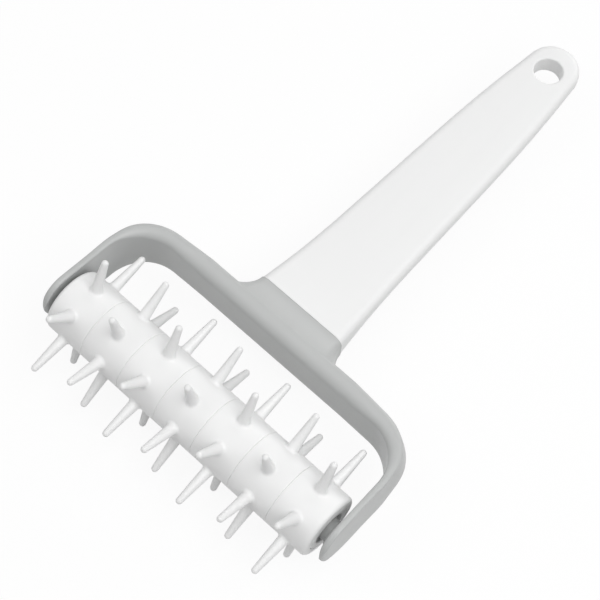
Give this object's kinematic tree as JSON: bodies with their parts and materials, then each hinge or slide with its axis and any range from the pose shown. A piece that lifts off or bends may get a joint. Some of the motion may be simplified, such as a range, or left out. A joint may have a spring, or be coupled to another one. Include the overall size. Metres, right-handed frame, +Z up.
{
  "type": "dough docker",
  "caption": "Hand dough docker: a white roller of spiked rings that turns in a grey fork on a flat white handle.",
  "frame": {"origin": "middle of the bounding box, at the level of the lowest spike tips, with the handle lying level", "axes": "+Z up, square to the flat of the handle; +Y from the roller along the handle to its hang hole; +X along the axle"},
  "size_m": [0.1216, 0.2104, 0.0508],
  "materials": {
    "white_plastic": "satin moulded",
    "grey_plastic": "satin moulded"
  },
  "bodies": {
    "frame": {"fork": "grey_plastic", "handle": "white_plastic"},
    "roller": {"roller_core": "white_plastic", "spike_ring_1": "white_plastic", "spike_ring_2": "white_plastic", "spike_ring_3": "white_plastic", "spike_ring_4": "white_plastic", "spike_ring_5": "white_plastic", "spike_ring_6": "white_plastic", "spike_ring_7": "white_plastic", "left_end_plug": "white_plastic", "right_end_plug": "white_plastic"}
  },
  "joints": [
    {"name": "roller_spin", "type": "hinge", "parent": "frame", "child": "roller", "pos_m": [-0.0007, -0.07986, 0.02538], "axis": [1, 0, 0], "continuous": true}
  ]
}
